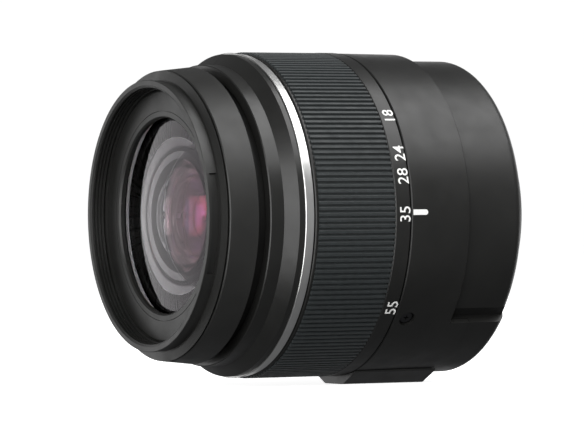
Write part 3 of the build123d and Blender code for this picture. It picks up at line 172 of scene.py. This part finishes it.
def node(tree, kind, values=None, **settings):
    """New node with values on its inputs and settings of its own."""
    made = tree.nodes.new(kind)
    for key, value in settings.items():
        setattr(made, key, value)
    for key, value in (values or {}).items():
        made.inputs[key].default_value = value
    return made


def place(tree, stretch=(1, 1, 1)):
    """Object coordinates, in metres, stretched for a grain direction."""
    where = node(tree, "ShaderNodeTexCoord")
    mapping = node(tree, "ShaderNodeMapping", {"Scale": stretch})
    tree.links.new(where.outputs["Object"], mapping.inputs["Vector"])
    return mapping.outputs["Vector"]


def from_axis(tree):
    """Distance from the optical axis."""
    spread = node(tree, "ShaderNodeVectorMath", operation="LENGTH")
    tree.links.new(place(tree, (1, 0, 1)), spread.inputs[0])
    return spread.outputs["Value"]


def backward(tree):
    """Place along the optical axis, which grows from the front towards the camera mount."""
    spread = node(tree, "ShaderNodeSeparateXYZ")
    tree.links.new(place(tree), spread.inputs["Vector"])
    return spread.outputs["Y"]


def noise(tree, vector, scale, detail):
    tex = node(tree, "ShaderNodeTexNoise", {"Scale": scale, "Detail": detail})
    tree.links.new(vector, tex.inputs["Vector"])
    return tex.outputs["Fac"]


def spread_to(tree, value, low, high, low_in=NOISE_LOW, high_in=NOISE_HIGH):
    """Maps a noise onto a range of values."""
    ranged = node(tree, "ShaderNodeMapRange", {"From Min": low_in, "From Max": high_in,
                                               "To Min": low, "To Max": high})
    tree.links.new(value, ranged.inputs["Value"])
    return ranged.outputs["Result"]


def tones(tree, value, dark, light):
    """Maps a noise onto the colours from dark to light."""
    ramp = node(tree, "ShaderNodeValToRGB")
    low, high = ramp.color_ramp.elements
    low.color, low.position = (*dark, 1), NOISE_LOW
    high.color, high.position = (*light, 1), NOISE_HIGH
    tree.links.new(value, ramp.inputs["Fac"])
    return ramp.outputs["Color"]


def above(tree, value, limit):
    """1 where a value is over a limit, 0 elsewhere."""
    test = node(tree, "ShaderNodeMath", {1: limit}, operation="GREATER_THAN")
    tree.links.new(value, test.inputs[0])
    return test.outputs["Value"]


def joined(tree, first, second, operation):
    """Two values put through one operation."""
    both = node(tree, "ShaderNodeMath", operation=operation)
    tree.links.new(first, both.inputs[0])
    tree.links.new(second, both.inputs[1])
    return both.outputs["Value"]


def scaled(color, factor):
    """A colour made darker or lighter, at most white."""
    return tuple(min(channel * factor, 1) for channel in color)


def mottle(tree, shader, color, scale, detail, dark, light):
    """Base colour that drifts between a darker and a lighter tone."""
    blotches = noise(tree, place(tree), scale, detail)
    tree.links.new(tones(tree, blotches, scaled(color, dark), scaled(color, light)),
                   shader.inputs["Base Color"])


def uneven(tree, shader, value, low, high):
    """Roughness that follows a noise from low to high."""
    tree.links.new(spread_to(tree, value, low, high), shader.inputs["Roughness"])


def raised(tree, shader, height, strength, relief):
    """Fine grain on the surface, from a noise."""
    bump = node(tree, "ShaderNodeBump", {"Strength": strength, "Distance": relief})
    tree.links.new(height, bump.inputs["Height"])
    tree.links.new(bump.outputs["Normal"], shader.inputs["Normal"])


# Materials. Noise scales are per metre.
def moulded(name, color, rough, specular, grain=5200, bite=0.25, turned=False):
    """Moulded plastic or paint with a fine grain, or with fine turned lines round the axis."""
    mat, tree, shader = fresh(name)
    shader.inputs["Specular IOR Level"].default_value = specular
    fine = noise(tree, place(tree), grain, detail=3)
    mottle(tree, shader, color, scale=90, detail=4, dark=0.85, light=1.2)
    uneven(tree, shader, noise(tree, place(tree), scale=260, detail=3),
           low=rough - PLASTIC_DRIFT, high=rough + PLASTIC_DRIFT)
    if turned:
        lines = noise(tree, place(tree, (0.02, 1, 0.02)), scale=9000, detail=1)
        fine = joined(tree, lines, fine, "ADD")
    raised(tree, shader, fine, strength=bite, relief=PLAIN_RELIEF)
    return mat


def metal(name, color, rough, lines):
    """Metal with lines round the axis, turned lines across a face, or a plain fine grain."""
    mat, tree, shader = fresh(name)
    shader.inputs["Metallic"].default_value = 1.0
    if lines == "round":
        grain = noise(tree, place(tree, (0.03, 1, 0.03)), scale=12000, detail=2)
    elif lines == "face":
        turned = node(tree, "ShaderNodeTexNoise", {"Scale": 14000, "Detail": 2},
                      noise_dimensions="1D")
        tree.links.new(from_axis(tree), turned.inputs["W"])
        grain = turned.outputs["Fac"]
    else:
        grain = noise(tree, place(tree), scale=4000, detail=3)
    mottle(tree, shader, color, scale=140, detail=4, dark=0.9, light=1.06)
    uneven(tree, shader, grain, low=rough - METAL_DRIFT_DOWN, high=rough + METAL_DRIFT_UP)
    raised(tree, shader, grain, strength=0.15, relief=FINE_RELIEF)
    return mat


def rubber(name, color):
    """Grip rubber: matt, with a fine tooth and paler dust on it."""
    mat, tree, shader = fresh(name)
    shader.inputs["Specular IOR Level"].default_value = 0.35
    shader.inputs["Sheen Weight"].default_value = 0.12
    shader.inputs["Sheen Roughness"].default_value = 0.5
    mottle(tree, shader, color, scale=900, detail=5, dark=0.85, light=1.25)
    uneven(tree, shader, noise(tree, place(tree), scale=400, detail=3), low=0.5, high=0.64)
    raised(tree, shader, noise(tree, place(tree), scale=7000, detail=3), strength=0.35,
           relief=COARSE_RELIEF)
    return mat


def flocked(name, color):
    """Light-trap black for the inside of the lens."""
    mat, tree, shader = fresh(name)
    shader.inputs["Specular IOR Level"].default_value = 0.2
    mottle(tree, shader, color, scale=3000, detail=3, dark=0.6, light=1.5)
    uneven(tree, shader, noise(tree, place(tree), scale=900, detail=2), low=0.7, high=0.9)
    raised(tree, shader, noise(tree, place(tree), scale=9000, detail=2), strength=0.3,
           relief=PLAIN_RELIEF)
    return mat


def lens_glass(name, tint, reflection, index):
    """Coated optical glass: clear body, coloured reflection, a trace of surface dust."""
    mat, tree, shader = fresh(name)
    shader.inputs["Base Color"].default_value = (*tint, 1)
    shader.inputs["Transmission Weight"].default_value = 1.0
    shader.inputs["IOR"].default_value = index
    shader.inputs["Specular Tint"].default_value = (*reflection, 1)
    dust = noise(tree, place(tree), scale=60, detail=4)
    tree.links.new(spread_to(tree, dust, low=0.0, high=0.004, low_in=0.5, high_in=0.9),
                   shader.inputs["Roughness"])
    return mat


def paint_rim_reflection(mat, low, high):
    """White ground-glass colour on the flat rear rim and the edge of an element whose box runs
    from low to high, a painted reflection that the lamps light, and a coating of its own on each
    of the element's two faces."""
    tree = mat.node_tree
    shader = tree.nodes["Principled BSDF"]
    dust = shader.inputs["Roughness"].links[0].from_socket
    back = backward(tree)
    # Painted reflection: mask for the white rim and edge, which stand in for a bright reflection
    # band
    edge = joined(tree, above(tree, from_axis(tree), high.x - EDGE_BAND * MM),
                  above(tree, back, low.y + REFLECTION_START_DEPTH * MM), "MULTIPLY")
    reflection_patch = joined(tree, edge, above(tree, back, high.y - PLANE_BAND * MM), "MAXIMUM")
    rear_face = above(tree, back, low.y + FRONT_FACE_DEPTH * MM)
    clear = node(tree, "ShaderNodeMath", {0: 1.0}, operation="SUBTRACT")
    tree.links.new(reflection_patch, clear.inputs[1])
    rough = node(tree, "ShaderNodeMath", {1: PAINTED_REFLECTION_ROUGHNESS}, operation="MULTIPLY")
    tree.links.new(reflection_patch, rough.inputs[0])
    for socket, value in (
            ("Transmission Weight", clear.outputs["Value"]),
            ("Base Color", tones(tree, reflection_patch, FRONT_TINT, PAINTED_REFLECTION_WHITE)),
            ("Roughness", joined(tree, dust, rough.outputs["Value"], "MAXIMUM")),
            ("Specular Tint", tones(tree, rear_face, FRONT_COATING, REAR_COATING))):
        tree.links.new(value, shader.inputs[socket])


def laminate(name):
    """Circuit board: green laminate with tracks under the lacquer."""
    mat, tree, shader = fresh(name)
    tracks = node(tree, "ShaderNodeTexBrick",
                  {"Scale": 420, "Mortar Size": 0.03, "Color1": (*BOARD_GREEN, 1),
                   "Color2": (*BOARD_LIGHT_GREEN, 1), "Mortar": (*TRACK_GREEN, 1)})
    tree.links.new(place(tree), tracks.inputs["Vector"])
    tree.links.new(tracks.outputs["Color"], shader.inputs["Base Color"])
    uneven(tree, shader, noise(tree, place(tree), scale=500, detail=2), low=0.3, high=0.45)
    raised(tree, shader, tracks.outputs["Fac"], strength=0.2, relief=COARSE_RELIEF)
    return mat


def ink(name, color):
    """Screen-printed paint, slightly uneven."""
    mat, tree, shader = fresh(name)
    mottle(tree, shader, color, scale=2500, detail=4, dark=0.9, light=1)
    uneven(tree, shader, noise(tree, place(tree), scale=900, detail=2), low=0.45, high=0.6)
    raised(tree, shader, noise(tree, place(tree), scale=6000, detail=2), strength=0.15,
           relief=FINE_RELIEF)
    return mat


# After its colour a look has its roughness, and a moulded one its specular level
looks = {
    "barrel": moulded("barrel_plastic", BLACK, 0.4, 0.32),
    "cover": moulded("cover_plastic", BLACK, 0.42, 0.32),
    "panel": moulded("panel_plastic", scaled(BLACK, 0.9), 0.36, 0.34),
    "knob": moulded("knob_plastic", KNOB_BLACK, 0.5, 0.34, grain=3000),
    "band": moulded("scale_band", BLACK, 0.38, 0.34, turned=True),
    "shroud": moulded("shroud_plastic", scaled(BLACK, 1.05), 0.34, 0.36, turned=True),
    "front": moulded("front_ring_plastic", scaled(BLACK, 1.3), 0.44, 0.4, turned=True),
    "tube": moulded("tube_plastic", scaled(BLACK, 0.7), 0.45, 0.28, turned=True),
    "name": moulded("name_ring_plastic", scaled(BLACK, 1.25), 0.4, 0.36, turned=True),
    "mount": moulded("mount_plastic", scaled(BLACK, 0.85), 0.34, 0.36, turned=True),
    "inner": moulded("inner_plastic", scaled(BLACK, 0.6), 0.6, 0.2),
    "acetal": moulded("white_acetal", ACETAL, 0.45, 0.4),
    "rubber": rubber("grip_rubber", RUBBER_BLACK),
    "flock": flocked("light_trap", TRAP_BLACK),
    "silver": metal("silver_band", SILVER, 0.34, "round"),
    "steel": metal("plain_steel", STEEL, 0.32, "plain"),
    "dark_steel": metal("black_steel", BLACK_STEEL, 0.4, "plain"),
    "blade_steel": metal("blade_steel", BLADE_STEEL, 0.45, "face"),
    "brass": metal("brass", BRASS, 0.3, "plain"),
    "gold": metal("contact_gold", GOLD, 0.22, "plain"),
    "board": laminate("circuit_laminate"),
    "front_glass": lens_glass("front_glass", FRONT_TINT, FRONT_COATING, FRONT_INDEX),
    "red_glass": lens_glass("second_glass", *RED_GLASS),
    "green_glass": lens_glass("third_glass", *GREEN_GLASS),
    "violet_glass": lens_glass("fourth_glass", *VIOLET_GLASS),
    "white_ink": ink("white_print", PRINT_WHITE),
}
# Painted reflection: white on the rim and edge of the first element
paint_rim_reflection(looks["front_glass"], *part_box("lens_1"))

# Look of every CAD node
finish_of = {
    "mount_ring": "mount", "mount_screws": "steel", "guide_barrel": "inner",
    "cam_clip": "steel", "cam_barrel": "inner", "fixed_sleeve": "inner",
    "rear_cover": "cover", "fixed_barrel": "barrel", "barrel_screws": "dark_steel",
    "switch_panel": "panel", "focus_switch": "knob", "zoom_ring": "band",
    "zoom_keys": "brass", "grip_rubber": "rubber", "front_shroud": "shroud",
    "silver_ring": "silver", "front_barrel": "tube", "front_followers": "brass",
    "focus_ring": "front", "focus_cam_ring": "inner", "focus_keys": "brass",
    "idler_gear": "acetal", "focus_motor": "steel", "motor_pinion": "brass",
    "filter_ring": "front", "name_ring": "name", "front_cell": "flock",
    "cell_pins": "brass", "element_retainer": "flock", "lens_1": "front_glass",
    "lens_2": "red_glass", "lens_3": "violet_glass", "lens_4": "green_glass",
    "lens_5": "green_glass", "lens_6": "red_glass", "lens_7": "violet_glass",
    "lens_8": "green_glass", "lens_9": "red_glass", "lens_10": "violet_glass",
    "lens_11": "violet_glass", "rear_group_frame": "flock", "rear_followers": "brass",
    "iris_base": "inner", "iris_cover": "dark_steel", "iris_ring": "dark_steel",
    "blade_1": "blade_steel", "blade_2": "blade_steel", "blade_3": "blade_steel",
    "blade_4": "blade_steel", "blade_5": "blade_steel", "blade_6": "blade_steel",
    "blade_7": "blade_steel", "aperture_lever": "steel", "rear_baffle": "flock",
    "contact_block": "inner", "contact_pins": "gold", "circuit_board": "board",
    "board_chips": "inner",
}
for name, look in finish_of.items():
    slots = nodes[name].data.materials
    slots.clear()
    slots.append(looks[look])


# Printed marks
def barrel_radius(forward):
    """Radius of the fixed barrel at a place along the lens."""
    share = (forward - BARREL_REAR) / BARREL_LENGTH
    return BARREL_REAR_RADIUS + BARREL_WIDENING * share


def scale_radius(forward):
    """Radius of the zoom ring's printed band, the same at every place."""
    return SCALE_RADIUS


def wrapped(across, forward, angle, radius):
    """Point on a tube: across is measured along the tube's girth from an angle."""
    phi = radians(angle) + across / radius
    return Vector((cos(phi) * radius * MM, -forward * MM, sin(phi) * radius * MM))


def print_on_tube(name, flat, body, forward, angle, radius_at):
    """Lays a flat mesh, drawn in millimetres, on a tube as a thin layer of white ink."""
    shape = bmesh.new()
    shape.from_mesh(flat)
    bmesh.ops.triangulate(shape, faces=shape.faces)
    for vert in shape.verts:
        vert_forward = forward + vert.co.y
        height = PRINT_LIFT if vert.co.z > 0 else -PRINT_DEPTH
        vert.co = wrapped(vert.co.x, vert_forward, angle, radius_at(vert_forward) + height)
    bmesh.ops.recalc_face_normals(shape, faces=shape.faces)
    mesh = bpy.data.meshes.new(name)
    shape.to_mesh(mesh)
    shape.free()
    mesh.materials.append(looks["white_ink"])
    made = bpy.data.objects.new(name, mesh)
    bpy.context.collection.objects.link(made)
    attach(made, body)


def number_mesh(text):
    """Upright numerals centred on the origin, with a little thickness, in millimetres."""
    curve = bpy.data.curves.new("number", "FONT")
    curve.body = text
    curve.align_x = "CENTER"
    curve.align_y = "CENTER"
    curve.size = NUMBER_HEIGHT / NUMERAL_SHARE
    curve.space_character = NUMBER_SPACING
    curve.offset = NUMBER_WEIGHT
    curve.extrude = FLAT_HALF_THICKNESS
    curve.resolution_u = NUMBER_SMOOTHNESS
    holder = bpy.data.objects.new("number", curve)
    bpy.context.collection.objects.link(holder)
    bpy.context.view_layer.update()
    flat = bpy.data.meshes.new_from_object(holder)
    bpy.data.objects.remove(holder)
    low = min(v.co.y for v in flat.vertices)
    high = max(v.co.y for v in flat.vertices)
    left = min(v.co.x for v in flat.vertices)
    right = max(v.co.x for v in flat.vertices)
    size = NUMBER_HEIGHT / (high - low)
    for vert in flat.vertices:
        vert.co.x = (vert.co.x - (left + right) / 2) * size
        vert.co.y = (vert.co.y - (low + high) / 2) * size
    return flat


def bar_mesh(length, width):
    """Bar along the tube with a rounded rear end, centred on the origin, in millimetres."""
    shape = bmesh.new()
    outline = [(width / 2, length / 2), (-width / 2, length / 2)]
    for step in range(MARK_ROUND_STEPS + 1):
        turn = pi + pi * step / MARK_ROUND_STEPS
        outline.append((cos(turn) * width / 2,
                        -length / 2 + (width / 2 + sin(turn) * width / 2)))
    top = [shape.verts.new((x, y, FLAT_HALF_THICKNESS)) for x, y in outline]
    low = [shape.verts.new((x, y, -FLAT_HALF_THICKNESS)) for x, y in outline]
    shape.faces.new(top)
    shape.faces.new(list(reversed(low)))
    for near in range(len(outline)):
        far = (near + 1) % len(outline)
        shape.faces.new((top[near], low[near], low[far], top[far]))
    flat = bpy.data.meshes.new("bar")
    shape.to_mesh(flat)
    shape.free()
    return flat


for text, angle in SCALE_NUMBERS:
    print_on_tube(f"scale_number_{text}", number_mesh(text), "zoom",
                  SCALE_FORWARD, angle, scale_radius)
print_on_tube("index_mark", bar_mesh(MARK_FRONT - MARK_REAR, MARK_WIDTH), "body",
              (MARK_REAR + MARK_FRONT) / 2, MARK_ANGLE, barrel_radius)

# Floor: it glows and lights nothing, so that only a faint contact shadow shows
bpy.ops.mesh.primitive_plane_add(size=FLOOR_SIZE, location=(0, 0, cad_box[0].z))
floor = bpy.context.object
floor.name = "floor"
pale = moulded("pale_floor", FLOOR_WHITE, 0.9, 0.0, grain=60, bite=0.0)
pale_shader = pale.node_tree.nodes["Principled BSDF"]
pale_shader.inputs["Emission Color"].default_value = (*WHITE, 1)
pale_shader.inputs["Emission Strength"].default_value = FLOOR_GLOW
floor.data.materials.append(pale)
floor.visible_diffuse = False
floor.visible_glossy = False
floor.visible_transmission = False

# World: a white backdrop for the camera, a dim room for everything else
world = bpy.data.worlds.new("studio")
bpy.context.scene.world = world
world.use_nodes = True
sky = world.node_tree
sky.nodes.clear()
backdrop = node(sky, "ShaderNodeBackground",
                {"Color": (*WHITE, 1), "Strength": BACKDROP_STRENGTH})
room = node(sky, "ShaderNodeBackground", {"Color": (*ROOM_LIGHT, 1), "Strength": ROOM_STRENGTH})
ray = node(sky, "ShaderNodeLightPath")
either = node(sky, "ShaderNodeMixShader")
sky_out = node(sky, "ShaderNodeOutputWorld")
sky.links.new(ray.outputs["Is Camera Ray"], either.inputs["Fac"])
sky.links.new(room.outputs["Background"], either.inputs[1])
sky.links.new(backdrop.outputs["Background"], either.inputs[2])
sky.links.new(either.outputs["Shader"], sky_out.inputs["Surface"])

# Softboxes, each turned to face the lens
for name, direction, distance, size, power in SOFTBOXES:
    light = bpy.data.lights.new(name, "AREA")
    light.shape = "RECTANGLE"
    light.size, light.size_y = size
    light.energy = power
    holder = bpy.data.objects.new(name, light)
    bpy.context.collection.objects.link(holder)
    outward = Vector(direction).normalized()
    holder.location = Vector(LIGHT_TARGET) + outward * distance
    holder.rotation_mode = "QUATERNION"
    holder.rotation_quaternion = (-outward).to_track_quat("-Z", "Y")

# Camera
level_right, upright = Vector(CAMERA_RIGHT), Vector((0, 0, 1))
roll = radians(CAMERA_ROLL)
lean_right = level_right * cos(roll) - upright * sin(roll)
lean_up = level_right * sin(roll) + upright * cos(roll)
camera_data = bpy.data.cameras.new("camera")
camera_data.lens = CAMERA_FOCAL_LENGTH
camera_data.sensor_width = CAMERA_SENSOR
camera_data.clip_start = CAMERA_NEAR
camera_data.clip_end = CAMERA_FAR
camera = bpy.data.objects.new("camera", camera_data)
bpy.context.collection.objects.link(camera)
rows = zip(lean_right, lean_up, CAMERA_BACK, CAMERA_PLACE)
camera.matrix_world = Matrix((*rows, (0, 0, 0, 1)))
bpy.context.scene.camera = camera
bpy.context.scene.view_settings.view_transform = "Standard"
